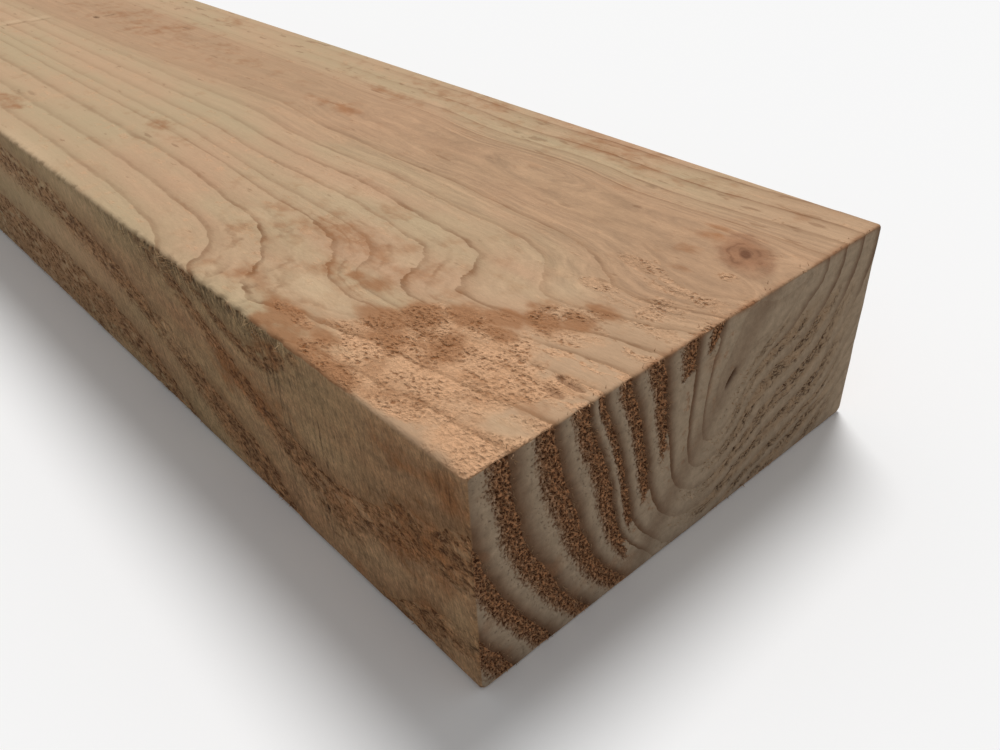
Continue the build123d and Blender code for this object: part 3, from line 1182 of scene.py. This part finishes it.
def fibre_tree():
    """Stands thin pointed fibres on the surface, in place of it."""
    sheet, whole = geometry_sheet("standing_fibres")
    density = sheet.product(sheet.kept("fibre_density"), 1 / MM**2)
    sockets = {"Mesh": whole, "Density": density, "Seed": FIBRE_SEED}
    spread = sheet.add("GeometryNodeDistributePointsOnFaces", sockets)
    long = sheet.math("MULTIPLY_ADD", sheet.ease(sheet.kept("fringe"), 0.0, 0.4), FRINGE_LENGTH_SHARE, 1.0)
    long = sheet.add("ShaderNodeCombineXYZ", {0: 1, 1: 1, 2: long}).outputs[0]
    sockets = {
        "Vertices": FIBRE_SIDES,
        "Radius Top": 0.0,
        "Radius Bottom": FIBRE_RADIUS,
        "Depth": FIBRE_LENGTH,
    }
    spike = sheet.add("GeometryNodeMeshCone", sockets).outputs["Mesh"]
    lean = sheet.add("FunctionNodeRandomValue", data_type="FLOAT_VECTOR")
    lean.inputs[0].default_value = (-FIBRE_LEAN, -FIBRE_LEAN, 0)
    lean.inputs[1].default_value = (FIBRE_LEAN, FIBRE_LEAN, FIBRE_TURN)
    turned = sheet.add("FunctionNodeRotateRotation", {0: spread.outputs["Rotation"]}, rotation_space="LOCAL")
    to_rotation = sheet.add("FunctionNodeEulerToRotation", {0: lean.outputs[0]})
    sheet.feed(turned.inputs[1], to_rotation.outputs[0])
    size = sheet.add("FunctionNodeRandomValue", data_type="FLOAT_VECTOR")
    size.inputs[0].default_value = LEAST_FIBRE_SHARES
    size.inputs[1].default_value = MOST_FIBRE_SHARES
    sockets = {
        "Points": spread.outputs["Points"],
        "Instance": spike,
        "Rotation": turned.outputs[0],
        "Scale": sheet.stretch(size.outputs[0], long),
    }
    standing = sheet.add("GeometryNodeInstanceOnPoints", sockets).outputs[0]
    made = sheet.add("GeometryNodeRealizeInstances", {0: standing}).outputs[0]
    sheet.add("NodeGroupOutput", {0: made})
    return sheet.tree


def pick(piece):
    """Selects only this piece, for the next operator."""
    bpy.ops.object.select_all(action="DESELECT")
    piece.select_set(True)
    bpy.context.view_layer.objects.active = piece


def apply_nodes(piece, name, tree):
    """Runs a Geometry Nodes tree on the piece and keeps the result."""
    modifier = piece.modifiers.new(name, "NODES")
    modifier.node_group = tree
    pick(piece)
    bpy.ops.object.modifier_apply(modifier=name)


def make_fibres(timber, figure_group):
    """Loose fibres, stood on a copy of the timber's surface, which they replace."""
    pick(timber)
    bpy.ops.object.duplicate()
    fibres = bpy.context.object
    fibres.name = "loose_fibres"
    fibres.data.name = "loose_fibres"
    places = np.empty(3 * len(fibres.data.vertices), np.float32)
    fibres.data.attributes["sawn_place"].data.foreach_get("vector", places)
    points = to_timber(places.reshape(-1, 3).astype(float))
    store(fibres, "fibre_density", fibre_density(points))
    apply_nodes(fibres, "fibres", fibre_tree())
    fibres.data.materials.clear()
    fibres.data.materials.append(wood_material("loose_fibre", figure_group, FIBRE_TINT_SHARE))
    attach(fibres, "root")


def make_timber():
    timber = add_blank()
    timber.name = "sawn_purlin"
    timber.data.name = "sawn_purlin"
    cut_cells(timber)
    refine(timber)
    store_figure(timber)
    lay_map(timber)
    apply_nodes(timber, "relief", relief_tree())
    bpy.ops.object.shade_smooth()
    figure_group = wood_figure_group()
    timber.data.materials.append(wood_material("sawn_softwood", figure_group, 0))
    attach(timber, "root")
    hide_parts("purlin")
    make_fibres(timber, figure_group)


def seen_directly(sheet):
    """1 for rays from the camera, or by way of a mirror or glass, and 0 for light that bounces about."""
    path = sheet.add("ShaderNodeLightPath").outputs
    seen = sheet.math("MAXIMUM", path["Is Camera Ray"], path["Is Glossy Ray"])
    return sheet.math("MAXIMUM", seen, path["Is Transmission Ray"])


def make_floor():
    bpy.ops.object.select_all(action="DESELECT")
    bpy.ops.mesh.primitive_plane_add(size=FLOOR_SIZE, location=(0, 0, LOW.z - FLOOR_GAP))
    floor = bpy.context.object
    floor.name = "floor"
    material = bpy.data.materials.new("pale_floor")
    material.use_nodes = True
    sheet = Sheet(material.node_tree)
    surface = material.node_tree.nodes["Principled BSDF"]
    pale = (FLOOR_SHADE, FLOOR_SHADE, FLOOR_SHADE, 1)
    dim = (*FLOOR_BOUNCE_SHADE, 1)
    sheet.feed(surface.inputs["Base Color"], sheet.mix(seen_directly(sheet), dim, pale))
    surface.inputs["Roughness"].default_value = 1.0
    surface.inputs["Specular IOR Level"].default_value = 0.0
    floor.data.materials.append(material)


def make_light():
    lamp = bpy.data.lights.new("soft_sun", "SUN")
    lamp.energy = SUN_STRENGTH
    lamp.angle = SUN_ANGLE
    sun = bpy.data.objects.new("soft_sun", lamp)
    sun.rotation_euler = SUN_DIRECTION.to_track_quat("Z", "Y").to_euler()
    bpy.context.scene.collection.objects.link(sun)
    world = bpy.data.worlds.new("plain_sky")
    world.use_nodes = True
    sheet = Sheet(world.node_tree)
    background = world.node_tree.nodes["Background"]
    background.inputs["Color"].default_value = (1, 1, 1, 1)
    strength = sheet.ease(seen_directly(sheet), 0.0, 1.0, SKY_STRENGTH, 1.0)
    sheet.feed(background.inputs["Strength"], strength)
    bpy.context.scene.world = world


def make_camera():
    lens = bpy.data.cameras.new("camera")
    lens.lens = CAMERA_LENS
    lens.sensor_width = SENSOR_WIDTH
    lens.clip_start = NEAREST_SEEN
    camera = bpy.data.objects.new("camera", lens)
    level = (LOOKED_AT - EYE).to_track_quat("-Z", "Y")
    camera.rotation_euler = (level @ Quaternion((0, 0, 1), CAMERA_ROLL)).to_euler()
    camera.location = EYE
    bpy.context.scene.collection.objects.link(camera)
    bpy.context.scene.camera = camera


make_timber()
make_floor()
make_light()
make_camera()
bpy.context.scene.view_settings.view_transform = "Standard"
